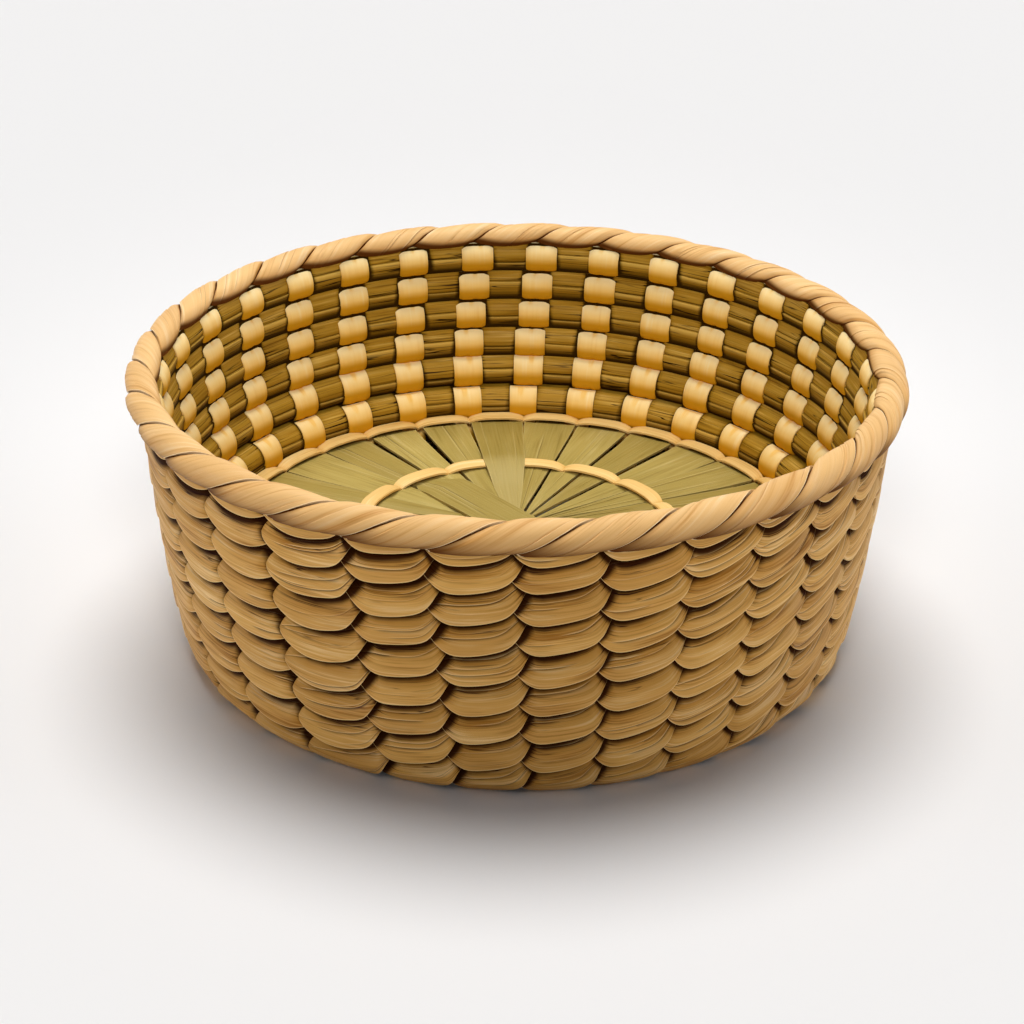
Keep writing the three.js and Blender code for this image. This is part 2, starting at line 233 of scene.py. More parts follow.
# The rim's section from its lip outside, over the top, to its lip inside, as radius and height
RIM_PATH = [(120.6, 89.0), (122.7, 89.7), (124.3, 91.7), (124.7, 94.3), (123.5, 97.1), (120.4, 99.0),
            (117.2, 98.3), (115.2, 95.7), (115.1, 92.6)]
RIM_LEAN = 1.5                    # columns that a lobe slants over from lip to lip
RIM_LEAN_BOW = 0.85
RIM_PROBE = 0.004                 # step at which the section's heading is measured
LOBE_STEPS = 44
LOBE_ROWS = [0, 0.06, 0.12, 0.18, 0.25, 0.32, 0.4, 0.48, 0.56, 0.64, 0.72, 0.8, 0.88, 0.94, 0.98, 1]
LOBE_PLACE = -0.25
LOBE_LAP = 0.07                   # how far a lobe laps over the next, in columns
LOBE_LENGTH = 31.0
LOBE_WIDTH = 25.0
LOBE_LOW = 0.65                   # where a lobe's lip is lowest
LOBE_LEFT_CUT = 0.1
LOBE_RIGHT_CUT = 0.03
LOBE_END_CUT = 0.06
LIP_WOBBLE = 0.15
LOBE_FOLDS = 3
LOBE_FOLD_PLACES = (0.2, 0.92)
LOBE_FOLD_DEPTH = 0.4
LOBE_CROWN = 0.9
LOBE_CROWN_BOW = 0.8
LOBE_TUCK = 1.4                   # how far its left edge goes in under the last lobe
LOBE_TUCK_WIDTH = 0.25
LOBE_SINK = 0.4
LOBE_THICKNESS = 0.9
LOBE_EDGE_FADE = (0.6, 0.85)      # shares of the path over which the painted highlight on the edge fades out
LOBE_END_SHADE = (0.3, 0.35)      # painted shade at the inner end: distance there, and how fast it grows
LOBE_LIP_SHADE = (0.62, 0.08)     # and at the lip
LOBE_MARKS = (0.35, 0.5)          # strength of a fold's painted shade and highlight at the lip, and how much more at the inner end

# The floor
FLOOR_LEVEL = 29.05
FLOOR_EDGE = 114.4
OUTER_RING_RADIUS = 99.0
LEAF_TAIL_RADIUS = 104.5
LEAF_STEPS = 34
LEAF_ROWS = [0, 0.05, 0.15, 0.25, 0.35, 0.45, 0.55, 0.65, 0.75, 0.85, 0.95, 1]
LEAF_FOLDS = 2
LEAF_FOLD_PLACES = (0.15, 0.85)
LEAF_FOLD_DEPTH = 0.25
LEAF_FOLD_LENGTH = 100
LEAF_THICKNESS = 0.8
LEAF_GAPS = (0.5, 1.5)            # gap to the next leaf
LEAF_GAPS_GROW = (-0.4, 2.2)      # how much wider it is at the wall
LEAF_GAPS_FROM = (30, 100)
LEAST_LEAF_WIDTH = 0.8
LEAF_LIFT = 0.25
LEAF_TILT = 0.35
LEAF_TILT_FROM = (10, 40)
LEAF_TILT_TO = (80, 96)
LEAF_CURL = 0.35
LEAF_CURL_FROM = (15, 40)
LEAF_CURL_TO = (85, 97)
LEAF_WAVE = 0.09
LEAF_WAVE_LENGTHS = (9, 16)
LEAF_WAVE_PHASES = 6
# Strength of the painted shade and highlight at a leaf's folds
LEAF_MARKS = 0.8
TAIL_FROM = 96.7                  # where a leaf narrows to go in under a band
TAIL_WIDTHS = (19, 9.5)
TAIL_LEVEL_FROM = 96
CROSSING_WIDTH = 17
CROSSING_LIFT = 1.3
CROSSING_ENDS = (44, 60)
CROSSING_LIFT_ENDS = (40, 50)
BACK_LEAF = 16                    # the leaf at the back, which passes over the inner ring
BACK_LEAF_RADII = (7, 30, 54, 97)
BACK_LEAF_WIDTHS = (3, 9, 14.5, 19)
BACK_LEAF_LIFT = 0.7
BACK_LEAF_ARCH = 2.2
BACK_LEAF_UP = (32, 50)
BACK_LEAF_DOWN = (58, 92)
BACK_LEAF_PALE = 0.55
BACK_LEAF_PALE_ENDS = (70, 50)
ARCH_STEPS = 15
ARCH_ACROSS = 6
ARCH_REACH = 1.06
ARCH_BOW = 4
ARCH_DIP = -0.25                  # how far an arch's ends go down past its foot
ARCH_WIDTHS = (0.82, 0.34)        # width at the ends, and how much more in the middle
ARCH_WIDTH_WOBBLE = 0.05
ARCH_PLACE_WOBBLE = 0.3
ARCH_RISE = 0.5
ARCH_FLATTER = 0.8                # how much flatter an arch is than in the solids
ARCH_ROUND = 0.15
ARCH_THICKNESS = 0.7
ARCH_END_SHADE = 0.5

# Dried leaf and grass. Noise is scaled along a strip, across it, and from strip to strip.
FINE_ALONG = 0.03
FINE_BETWEEN = 23.0
FINE_NOISE = (3.0, 0.55)          # detail and roughness
BROAD_SCALE = (0.03, 0.25, 41.0)
BROAD_NOISE = (2.0, 0.6)
# Thin dark strokes: painted shade of fine creases
STROKE_SCALE = (0.02, 1.1, 67.0)
STROKE_NOISE = (1.0, 0.4)
STROKE_WIDTH = 0.025
STROKES_NEAR = 0.8                # strength near what lies over the strip
STROKES_ALL = 0.12
MIDDLE = 0.5                      # middle of a noise
FINE_SHARE = 0.45
TONE_DARK = 0.2                   # how far from the middle the dark and the pale are
TONE_PALE = 0.22
NEAR_REACH = 1.7                  # reach of the painted shade under an edge, as a share of under
NEAR_DARK = 0.7
UNDER_ENDS = (0.4, 0.9)           # and of the painted shade in the shade colour, close under an edge
UNDER_DARK = 0.97
# Painted highlight over a fold's edge, and painted shade under it
OVER_FOLD = (-0.2, -0.8, 0.0, 0.8)
UNDER_FOLD = (0.3, 0.95, 0.0, 0.85)
# Painted highlight along a strip's own edge
EDGE_ENDS = (0.15, 0.45)
GLOSS_REACH = 2
ROUGHNESS = (0.3, 0.7, 0.58, 0.42)
STROKE_BUMP = (0.3, -0.0003)      # strength, and height in metres
FINE_BUMP = (0.18, 0.0003)

# Camera, table and light
CAMERA_DISTANCE = 830.0
CAMERA_ELEVATION = math.radians(26.579)
CAMERA_ROLL = math.radians(0.482)
CAMERA_TARGET = Vector((-1.153, 0.0, 42.055))
CAMERA_LENS = 88.12
CAMERA_SENSOR = 36.0
CAMERA_CLIP = (0.01, 50)
TABLE_HALF = 6.0                  # metres
TABLE_COLOUR = (239, 237, 235)
TABLE_ROUGHNESS = 0.9
TABLE_GLOSS = 0.1
SKY_LEVEL = 0.1
SKY_SIDES = 12.0                  # how much brighter the sky is to the left and right
SKY_NARROW = 40.0
SKY_COLOUR = (0.95, 0.99, 1.08, 1.0)
BACKDROP = 0.92
BACKDROP_COLOUR = (1.0, 1.0, 1.0, 1.0)
SUN_STRENGTH = 2.8
SUN_SPREAD = math.radians(40)
SUN_FROM = Vector((0.0, 0.22, 1.0))
SPOT_POWER = 8.4
SPOT_CONE = math.radians(26)
SPOT_WIDEN = 1.55                 # the spot's cone is wider than it is high
SPOT_SOFT = 1.0
SPOT_SIZE = 0.08                  # metres
SPOT_FROM = Vector((0.0, -400.0, 450.0))
SPOT_AIM = Vector((0.0, 72.0, 62.0))


# Shapes

def on_ring(angle, radius, height):
    angle, radius, height = np.broadcast_arrays(angle, radius, height)
    return np.stack([radius * np.sin(angle), -radius * np.cos(angle), height], axis=-1)


def ease(low, high, value):
    share = np.clip((value - low) / (high - low), 0, 1)
    return share * share * (3 - 2 * share)


def wobble(size):
    return rng.uniform(-size, size)


def curve(points, shares, stretch=(1.0, 1.0)):
    """A smooth curve through the points at shares of its length, which is measured with the stretch."""
    points = np.asarray(points, float)
    gaps = np.linalg.norm(np.diff(points * stretch, axis=0), axis=1)
    knots = np.concatenate([[0], np.cumsum(gaps)]) / gaps.sum()
    slopes = np.gradient(points, knots, axis=0)
    span = np.clip(np.searchsorted(knots, shares, side="right") - 1, 0, len(knots) - 2)
    width = (knots[span + 1] - knots[span])[:, None]
    t = (shares - knots[span])[:, None] / width
    start = (1 + 2 * t) * (1 - t) ** 2 * points[span] + t * (1 - t) ** 2 * width * slopes[span]
    end = t ** 2 * (3 - 2 * t) * points[span + 1] + t ** 2 * (t - 1) * width * slopes[span + 1]
    return start + end


def row_bottom(row):
    return (ROWS - row) * ROW_PITCH


def row_top(row):
    return row_bottom(row) + (TOP_ROW_HEIGHT if row == 1 else ROW_PITCH)


def inside(height):
    """Height inside the wall of an edge between two rows, which lies a little lower than outside."""
    return height - INSIDE_DROP * min(1, height / FLOOR_HEIGHT)


def outer_radius(height):
    share = np.maximum(height, 0) / WALL_HEIGHT
    return FOOT_RADIUS + (SHOULDER_RADIUS - FOOT_RADIUS) * share ** OUTER_BOW


def band_face(row):
    """Radius of the inner face of a row's bands."""
    height = (row_bottom(row) + row_top(row)) / 2
    if height < FLOOR_HEIGHT:
        return outer_radius(height) - FOOT_WALL
    left = max(0, 1 - (height - FLOOR_HEIGHT) / (WALL_HEIGHT - FLOOR_HEIGHT))
    return outer_radius(height) - WALL_AT_RIM - (WALL_AT_FLOOR - WALL_AT_RIM) * left ** INNER_BOW


def floor_at(radius):
    return FLOOR_LEVEL + FLOOR_RISE * np.maximum(0, 1 - radius / FLOOR_EDGE)


def fold_rows(rows, places):
    """Shares across a strip, with two close together at each fold."""
    return np.sort(np.concatenate([rows, places - FOLD_STEP, places + FOLD_STEP]))


def folds(across, along, places, depth):
    """Folds along a strip. Each is an edge with the strip set back under it. Gives the set-back, and a
    mark that runs from 1 just under an edge to -1 just over it, for painted shade under the edge and a
    painted highlight over it."""
    set_back = np.zeros(np.broadcast(across, along).shape)
    mark = np.zeros_like(set_back)
    for place in places:
        reach = rng.uniform(*FOLD_REACH)
        far = along if rng.random() < 0.5 else 1 - along
        shown = (1 - ease(reach, reach + FOLD_FADE, far)) * rng.uniform(*FOLD_STRENGTH)
        under = np.where(across < place, np.exp((across - place) / FOLD_UNDER), 0) * shown
        over = np.where(across > place, np.exp((place - across) / FOLD_OVER), 0) * shown
        set_back = np.maximum(set_back, under * depth)
        mark = np.where(under > np.abs(mark), under, mark)
        mark = np.where(over > np.abs(mark), -over, mark)
    return set_back, mark


# Meshes

class Sheets:
    """Gathers closed sheets of mesh that become one piece. Each point has two marks for the materials:
    fibre holds millimetres along and across its strip and the strip's number, and place holds the distance
    to the strip's own edge, for a painted highlight there, the distance to what lies over it, for painted
    shade under it, and the mark of a fold, for painted shade and highlight at the fold."""

    def __init__(self):
        self.points = []
        self.faces = []
        self.fibre = []
        self.place = []
        self.count = 0

    def add_points(self, grid, fibre, place):
        start = self.count
        self.points.append(grid.reshape(-1, 3))
        self.fibre.append(fibre.reshape(-1, 3))
        self.place.append(place.reshape(-1, 3))
        self.count += grid.shape[0] * grid.shape[1]
        return start + np.arange(grid.shape[0] * grid.shape[1]).reshape(grid.shape[:2])

    def add_sheet(self, face, back, fibre, place):
        """A face and a back with the same steps along. The back may have fewer rows across."""
        rows = np.linspace(0, face.shape[1] - 1, back.shape[1]).astype(int)
        front = self.add_points(face, fibre, place)
        behind = self.add_points(back, fibre[:, rows], place[:, rows])
        self.add_quads(front[:-1, :-1], front[1:, :-1], front[1:, 1:], front[:-1, 1:])
        self.add_quads(behind[:-1, 1:], behind[1:, 1:], behind[1:, :-1], behind[:-1, :-1])
        self.add_quads(front[:-1, 0], behind[:-1, 0], behind[1:, 0], front[1:, 0])
        self.add_quads(front[:-1, -1], front[1:, -1], behind[1:, -1], behind[:-1, -1])
        self.faces.append([*front[0].tolist(), *behind[0, ::-1].tolist()])
        self.faces.append([*front[-1, ::-1].tolist(), *behind[-1].tolist()])

    def add_ring(self, grid, fibre, place):
        """A closed ring of closed sections."""
        index = self.add_points(grid, fibre, place)
        along = np.roll(index, -1, axis=0)
        self.add_quads(index, along, np.roll(along, -1, axis=1), np.roll(index, -1, axis=1))

    def add_quads(self, *corners):
        self.faces.extend(np.stack([c.ravel() for c in corners], axis=-1).tolist())

    def make(self, name, nodes, material):
        mesh = bpy.data.meshes.new(name)
        mesh.from_pydata((np.concatenate(self.points) * MM).tolist(), [], self.faces)
        for label, values in (("fibre", self.fibre), ("place", self.place)):
            layer = mesh.attributes.new(label, "FLOAT_VECTOR", "POINT")
            layer.data.foreach_set("vector", np.concatenate(values).astype(np.float32).ravel())
        mesh.shade_smooth()
        mesh.set_sharp_from_angle(angle=SHARP_ANGLE)
        mesh.materials.append(material)
        piece = bpy.data.objects.new(name, mesh)
        bpy.context.collection.objects.link(piece)
        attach(piece, "root")
        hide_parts(*nodes)


def stack(*values):
    return np.stack(np.broadcast_arrays(*values), axis=-1).astype(float)


# Outside: the swags

def lap(column):
    """1 where the swag left of a column's start laps over the one right of it, and 0 where it lies under."""
    degrees = (column * 360 / COLUMNS) % 360
    behind, front = LAP_TURNS_OVER
    return 0.0 if behind < degrees < front else 1.0


def slant(column):
    """1 on the right side of the basket, where the swags lie aslant."""
    degrees = ((column + 0.5) * 360 / COLUMNS) % 360
    front, side, behind, far = SLANT_FROM
    return ease(front, side, degrees) - ease(behind, far, degrees)


def outline(left, right, aslant, over, under, slanted):
    """An edge of a swag, from the laps at its left and right ends."""
    share = ease(*SWAG_MIDDLE, over[:, :1])
    weight = left * (1 - share) + right * share
    over = over + (slanted - over) * aslant
    return over * weight + under * (1 - weight)


def spread(turn):
    """Where a column lies outside. Columns are a little wider at the front than at the back."""
    return turn + SPREAD_TURN + SPREAD * np.sin(turn * COLUMN)


def lean(turn):
    """How far a row of swags is turned, in columns, past the row above. It is most left of the front."""
    degrees = (turn * 360 / COLUMNS + 180) % 360 - 180
    return SWAG_LEAN * (1 - ease(*LEAN_ENDS, degrees)) * (1 - ease(*LEAN_STOPS, np.abs(degrees)))


def hang(row):
    """How far a row's swags hang below the foot of the row."""
    return LIP_HANG if row in (1, ROWS) else -LIP_RISE


def from_corner(columns, rise, corner):
    """How far a point of a swag is from a corner painted dark with shade, in millimetres."""
    across, up = corner
    return np.hypot((columns - across) * FOOT_COLUMN, (rise - up) * ROW_PITCH) - CORNER_SIZE


def covered(row, columns, rise, lower, left, right):
    """How far a point of a swag is, in millimetres, from the edges that lie over it or the corner that it
    is drawn into. The materials paint shade by this distance, darkest close in."""
    right_end = lower[RIGHT_END_FROM:]
    left_end = lower[LEFT_END_POINTS - 1::-1]
    under_row = (1 + np.interp(columns % 1, *lower.T) - rise) * ROW_PITCH + hang(row) - hang(row - 1)
    last_end = np.interp(rise, right_end[:, 1], right_end[:, 0] - 1, left=-1)
    next_end = np.interp(rise, left_end[:, 1], left_end[:, 0] + 1, left=2)
    under_last = (columns - last_end) * FOOT_COLUMN + (1 - left) * OPEN
    under_next = (next_end - columns) * FOOT_COLUMN + NEXT_EDGE + right * OPEN
    left_corner = from_corner(columns, rise, LEFT_CORNER) + (1 - left) * OPEN
    right_corner = from_corner(columns, rise, RIGHT_CORNER) + right * OPEN
    return np.minimum.reduce([under_row, under_last, under_next, left_corner, right_corner])


def stand_out(columns, rise, lower, left, right):
    """How far a swag stands out: most at its lower edge, tucked in at a covered end and under the row
    above."""
    above_edge = np.maximum(rise - np.interp(columns, *lower.T), 0)
    left_end = (1 - ease(*LEFT_TUCK, columns)) * left
    right_end = ease(*RIGHT_TUCK, columns) * (1 - right)
    corner = (1 - ease(*LEFT_CORNER_ENDS, columns)) * left + ease(*RIGHT_CORNER_ENDS, columns) * (1 - right)
    lip = LIP_OUT + LAP_OUT * ease(*LAP_FROM, columns) * right - END_TUCK * (left_end + right_end)
    face = lip - FACE_SLOPE * above_edge ** FACE_BOW - TOP_TUCK * ease(*TOP_FROM, rise)
    return np.maximum(face - CORNER_TUCK * corner * ease(*CORNER_FROM, rise), DEEPEST_TUCK)


def fit_row(row, rise, height, out):
    """Flattens row 1 under the rim, and lifts the lowest row off the table and turns it in."""
    if row == 1:
        height = np.minimum(height, row_top(row) - TOP_ROW_GAP)
        out = out * TOP_ROW_FLATTER
    if row == ROWS:
        height = np.maximum(height, 0) + HEEL_LIFT * (1 - ease(*HEEL_LIFT_ENDS, rise))
        out = out - HEEL_INSET * (1 - ease(*HEEL_ENDS, rise)) ** HEEL_BOW
    return height, out


def add_swag(sheets, row, column):
    """One swag: its outline, the folds along it, and how it hangs."""
    aslant = slant(column)
    along = np.linspace(0, 1, SWAG_STEPS)
    places = rng.uniform(*SWAG_FOLD_PLACES, SWAG_FOLDS + int(SLANT_FOLDS * aslant))
    across = fold_rows(SWAG_ROWS, places)
    stretch = (outer_radius(row_bottom(row)) * COLUMN, ROW_PITCH)
    left, right = lap(column), lap(column + 1)
    edge = outline(left, right, aslant, RIGHT_OVER_LOWER, LEFT_OVER_LOWER, SLANTED_LOWER)
    top = outline(left, right, aslant, RIGHT_OVER_UPPER, LEFT_OVER_UPPER, SLANTED_UPPER)
    lower = curve(edge, along, stretch)
    upper = curve(top, along, stretch)
    plan = lower[:, None] + (upper - lower)[:, None] * across[:, None]
    columns = plan[..., 0]
    rise = plan[..., 1]
    width = np.linalg.norm((upper - lower) * stretch, axis=1)[:, None]
    along, across = along[:, None], across[None, :]
    edge_rise = np.interp(columns, *edge.T)

    set_back, mark = folds(across, along, places, SWAG_FOLD_DEPTH + SLANT_FOLD_DEPTH * aslant)
    shown = ease(*SWAG_MIDDLE, columns + right)
    set_back = set_back * shown
    mark = mark * shown
    out = stand_out(columns, rise, edge, left, right) + wobble(OUT_WOBBLE) - set_back
    sag = np.sin(math.pi * np.clip(columns, 0, 1)) * (1 - across) * wobble(SAG_WOBBLE)
    height = row_bottom(row) - hang(row) + (rise + sag) * ROW_PITCH
    height, out = fit_row(row, rise, height, out)
    turn = column + columns + wobble(TURN_WOBBLE)
    turn = (spread(turn) + lean(turn) * max(row - LEAN_FROM_ROW, 0)) * COLUMN
    radius = outer_radius(height) + out
    face = on_ring(turn, radius, height)
    rows = np.linspace(0, face.shape[1] - 1, SWAG_BACK_ROWS).astype(int)
    back = on_ring(turn, radius - STRIP, height)[:, rows]
    grain = (rise - (GRAIN_LEVEL + GRAIN_LAP * left) * edge_rise) * ROW_PITCH
    fibre = stack(columns * stretch[0], grain, row + column / COLUMNS)
    # Place marks: a painted highlight along the swag's own edge, painted shade under what lies over it and in
    # dark corners, and painted shade and highlight at its folds
    from_edge = across * width + EDGE_FADE * ease(*EDGE_FADE_RISE, edge_rise) * right
    place = stack(from_edge, covered(row, columns, rise, edge, left, right), mark)
    sheets.add_sheet(face, back, fibre, place)


# Inside: the bands and the grass

def band_turn(row):
    """How far a row's bands are turned, in columns, from the solids. They lean as they go down."""
    return BAND_TURN + BAND_LEAN * (row - 1)


def low_row(row):
    """How many rows a row is below those that get no extra painted shade."""
    return max(row - LEVEL_ROW, 0)


def bundle(row, turn, depth, overhang):
    """Radius set back and height of a coil's rounded inner side, for turns from -1, its foot, to 1."""
    bottom = inside(row_bottom(row))
    top = INSIDE_TOP if row == 1 else inside(row_top(row))
    middle = (bottom + top) / 2
    half = (top - bottom) / 2 + overhang
    back = depth * (1 - np.cos(turn * math.pi / 2) ** BUNDLE_ROUND) + BUNDLE_LEAN * turn
    return back, middle + half * np.sin(turn * math.pi / 2)


def add_band(sheets, row, column):
    """One band, which comes down over its row's coil inside."""
    along = np.linspace(-BAND_REACH, BAND_REACH, BAND_STEPS)[:, None]
    across = np.linspace(-1, 1, BAND_ACROSS)[None, :]
    overhang = BAND_OVERHANG if row < ROWS else -BAND_OVERHANG
    set_back, height = bundle(row, along, BAND_DEPTH, overhang)
    edge = np.abs(across) ** BAND_EDGE_POWER
    notch = np.exp(-((across - wobble(NOTCH_PLACE)) / NOTCH_WIDTH) ** 2)
    notch = notch * ease(NOTCH_FROM, BAND_REACH, np.abs(along))
    radius = band_face(row) + set_back + edge * BAND_EDGE + notch * NOTCH_DEPTH
    radius = np.minimum(radius, outer_radius(height) - INSIDE_SKIN)
    width = HALF_BAND * rng.uniform(*BAND_WIDTHS) * (1 - BAND_NARROWS * along ** 4)
    angle = (column + band_turn(row)) * COLUMN + across * width + wobble(BAND_WOBBLE)
    face = on_ring(angle, radius, height)[:, ::-1]
    back = on_ring(angle, radius + STRIP, height)[:, ::-1][:, [0, -1]]
    number = BAND_NUMBERS + row + column / COLUMNS
    fibre = stack(along * ROW_PITCH / 2, across * band_face(row) * HALF_BAND, number)
    # A painted highlight toward the band's top, painted shade toward its foot, and painted shade in the
    # crease at its ends
    at_foot, more = SHINE
    shine = (at_foot + more * ease(*SHINE_ENDS, along)) * (1 - LOW_ROW_SHINE * low_row(row))
    distance, below, growth = BAND_SHADE
    from_foot = distance + (along + below) * growth - LOW_ROW_SHADE * low_row(row)
    from_foot = np.maximum(from_foot, LEAST_SHADE)
    place = stack(OPEN, from_foot, notch * NOTCH_MARK - shine * (1 - notch))
    sheets.add_sheet(face, back, fibre[:, ::-1], place[:, ::-1])


def by_gap(angle, row, low, high):
    """A random value for each gap between two bands, blended where a band hides the change."""
    values = rng.uniform(low, high, COLUMNS)
    gap = angle / COLUMN - band_turn(row)
    first = np.floor(gap).astype(int)
    before = values[(first - 1) % COLUMNS]
    return before + (values[first % COLUMNS] - before) * ease(0.0, BAND_SHARE / 2, gap - first)


def coil_blades(row, angle):
    """The blades on a coil's inner side: each point's turn round the coil, its blade's number, and how far it
    is in the groove at that blade's foot or on the ridge at its top, which set the groove's painted shade and
    the ridge's painted highlight as well as their depth and height."""
    blade = np.concatenate([BLADE_ROWS + number for number in range(BLADES)] + [[BLADES]])[None, :]
    number = np.minimum(np.floor(blade), BLADES - 1)
    part = blade - number
    lower_two = [number == 0, number == 1]
    first = by_gap(angle, row, *FIRST_GROOVE)
    second = by_gap(angle, row, *SECOND_GROOVE)
    turn = np.select(lower_two, [-1 + (first + 1) * part, first + (second - first) * part],
                     second + (1 - second) * part)
    first_groove = by_gap(angle, row, *FIRST_GROOVE_SHOWN)
    second_groove = by_gap(angle, row, *SECOND_GROOVE_SHOWN)
    first_ridge = by_gap(angle, row, *FIRST_RIDGE_SHOWN)
    second_ridge = by_gap(angle, row, *SECOND_RIDGE_SHOWN)
    below = np.select(lower_two, [0, first_groove], second_groove)
    over = np.select(lower_two, [first_ridge, second_ridge], 0)
    groove = np.exp(-part / GROOVE_WIDTH) * below
    ridge = np.exp((part - 1) / RIDGE_WIDTH) * over
    return turn, number, groove, ridge


def add_coil(sheets, row):
    """A bundle of blades: rounded inside, where it shows between the bands, and flat behind the swags."""
    angle = np.linspace(0, 2 * math.pi, COLUMNS * COIL_STEPS, endpoint=False)[:, None]
    turn, number, groove, ridge = coil_blades(row, angle)
    from_band = np.abs((angle / COLUMN - band_turn(row) + 0.5) % 1 - 0.5) * COLUMN
    cinch = 1 - ease(HALF_BAND, HALF_BAND + CINCH_WIDTH, from_band)
    set_back, height = bundle(row, turn, COIL_DEPTH, COIL_OVERHANG)
    radius = band_face(row) + COIL_SET_BACK + set_back
    radius = radius + GROOVE_DEPTH * groove - RIDGE_HEIGHT * ridge + CINCH * cinch
    outer = outer_radius(height) - INSIDE_SKIN
    radius = np.minimum(radius, outer - COIL_WALL)
    inner = on_ring(angle, radius, height)
    behind = on_ring(angle, outer[:, [-1, 0]], height[:, [-1, 0]])
    grid = np.concatenate([inner, behind], axis=1)
    strip = COIL_NUMBERS + row + number * BLADE_NUMBER_STEP
    fibre = stack(angle * band_face(row), turn * ROW_PITCH / 2, strip)
    # Painted shade beside each band, toward the coil's foot and in its grooves, and a painted highlight on
    # its ridges
    at_band, growth = BESIDE_BAND
    beside = at_band + np.maximum(from_band - HALF_BAND, 0) * band_face(row) * growth
    from_foot = np.interp(turn, *COIL_SHADE.T) * (1 - LOW_ROW_COIL * low_row(row))
    place = stack(OPEN, np.minimum(beside, from_foot), groove - ridge)
    fibre = np.concatenate([fibre, fibre[:, [-1, 0]]], axis=1)
    place = np.concatenate([place, place[:, [-1, 0]]], axis=1)
    sheets.add_ring(grid[:, ::-1], fibre[:, ::-1], place[:, ::-1])


# The rim

def lobe_lip(across):
    """Share of the rim's path by which a lobe's lip is cut back: a rounded left end, low right of the
    middle."""
    left = LOBE_LEFT_CUT * (np.maximum(LOBE_LOW - across, 0) / LOBE_LOW) ** 2
    return left + LOBE_RIGHT_CUT * (np.maximum(across - LOBE_LOW, 0) / (1 - LOBE_LOW)) ** 2


def rim_section(share):
    """The rim's path at shares of its length, and its outward normal there."""
    flat = share.ravel()
    centre = curve(RIM_PATH, flat).reshape(*share.shape, 2)
    ahead = curve(RIM_PATH, np.minimum(flat + RIM_PROBE, 1)).reshape(*share.shape, 2)
    before = curve(RIM_PATH, np.maximum(flat - RIM_PROBE, 0)).reshape(*share.shape, 2)
    heading = ahead - before
    heading /= np.linalg.norm(heading, axis=-1, keepdims=True)
    return centre, np.stack([heading[..., 1], -heading[..., 0]], axis=-1)


def add_lobe(sheets, column):
    """One turn of the rim's wrap, which shows as a slanted lobe."""
    places = rng.uniform(*LOBE_FOLD_PLACES, LOBE_FOLDS)
    across = fold_rows(LOBE_ROWS, places)[None, :]
    lip = lobe_lip(across) * rng.uniform(1 - LIP_WOBBLE, 1 + LIP_WOBBLE)
    end = 1 - LOBE_END_CUT * np.abs(2 * across - 1) ** 2
    share = lip + (end - lip) * np.linspace(0, 1, LOBE_STEPS)[:, None]
    centre, normal = rim_section(share)
    set_back, mark = folds(across, 1 - share, places, LOBE_FOLD_DEPTH)
    crown = LOBE_CROWN * np.sin(math.pi * across ** LOBE_CROWN_BOW)
    crown = crown - LOBE_TUCK * (1 - ease(0, LOBE_TUCK_WIDTH, across)) - LOBE_SINK - set_back
    outer = centre + normal * crown[..., None]
    under = centre + normal * (crown[..., None] - LOBE_THICKNESS)
    turn = column + RIM_LEAN * share ** RIM_LEAN_BOW + across * (1 + LOBE_LAP) + LOBE_PLACE
    turn = spread(turn) * COLUMN
    face = on_ring(turn, outer[..., 0], outer[..., 1])
    back = on_ring(turn, under[..., 0], under[..., 1])[:, [0, -1]]
    fibre = stack(share * LOBE_LENGTH, across * LOBE_WIDTH, LOBE_NUMBERS + column / COLUMNS)
    from_lip = (share - lip) * LOBE_LENGTH
    from_end = (end - share) * LOBE_LENGTH
    # Place marks: a painted highlight along the lobe's lip and right side, painted shade where the last lobe
    # laps over it, at its inner end and at its lip, and painted shade and highlight at its folds
    edge = np.minimum(from_lip, (1 - across) * LOBE_WIDTH) + ease(*LOBE_EDGE_FADE, share)
    at_end, end_growth = LOBE_END_SHADE
    at_lip, lip_growth = LOBE_LIP_SHADE
    over = np.minimum((across - LOBE_LAP) * LOBE_WIDTH, at_end + from_end * end_growth)
    over = np.minimum(over, at_lip + from_lip * lip_growth)
    least_mark, more_mark = LOBE_MARKS
    place = stack(edge, over, mark * (least_mark + more_mark * share))
    sheets.add_sheet(face[:, ::-1], back[:, ::-1], fibre[:, ::-1], place[:, ::-1])


# The floor

def leaf_width(radius):
    return 2 * radius * math.tan(COLUMN / 2)


def leaf_height(radius, across, lift, set_back):
    """Height of a leaf's middle layer: tilted, waved, curled down at its sides, and level at its tail."""
    reach = np.abs(radius)
    tilt = wobble(LEAF_TILT) * ease(*LEAF_TILT_FROM, reach) * (1 - ease(*LEAF_TILT_TO, reach))
    curl = LEAF_CURL * across ** 2 * ease(*LEAF_CURL_FROM, reach) * (1 - ease(*LEAF_CURL_TO, reach))
    wave = LEAF_WAVE * np.sin(radius / rng.uniform(*LEAF_WAVE_LENGTHS) + rng.uniform(0, LEAF_WAVE_PHASES))
    height = floor_at(np.minimum(reach, OUTER_RING_RADIUS)) + lift
    height = height + tilt * across - curl + wave * across - set_back
    level = ease(TAIL_LEVEL_FROM, OUTER_RING_RADIUS, reach)
    return height * (1 - level) + FLOOR_LEVEL * level


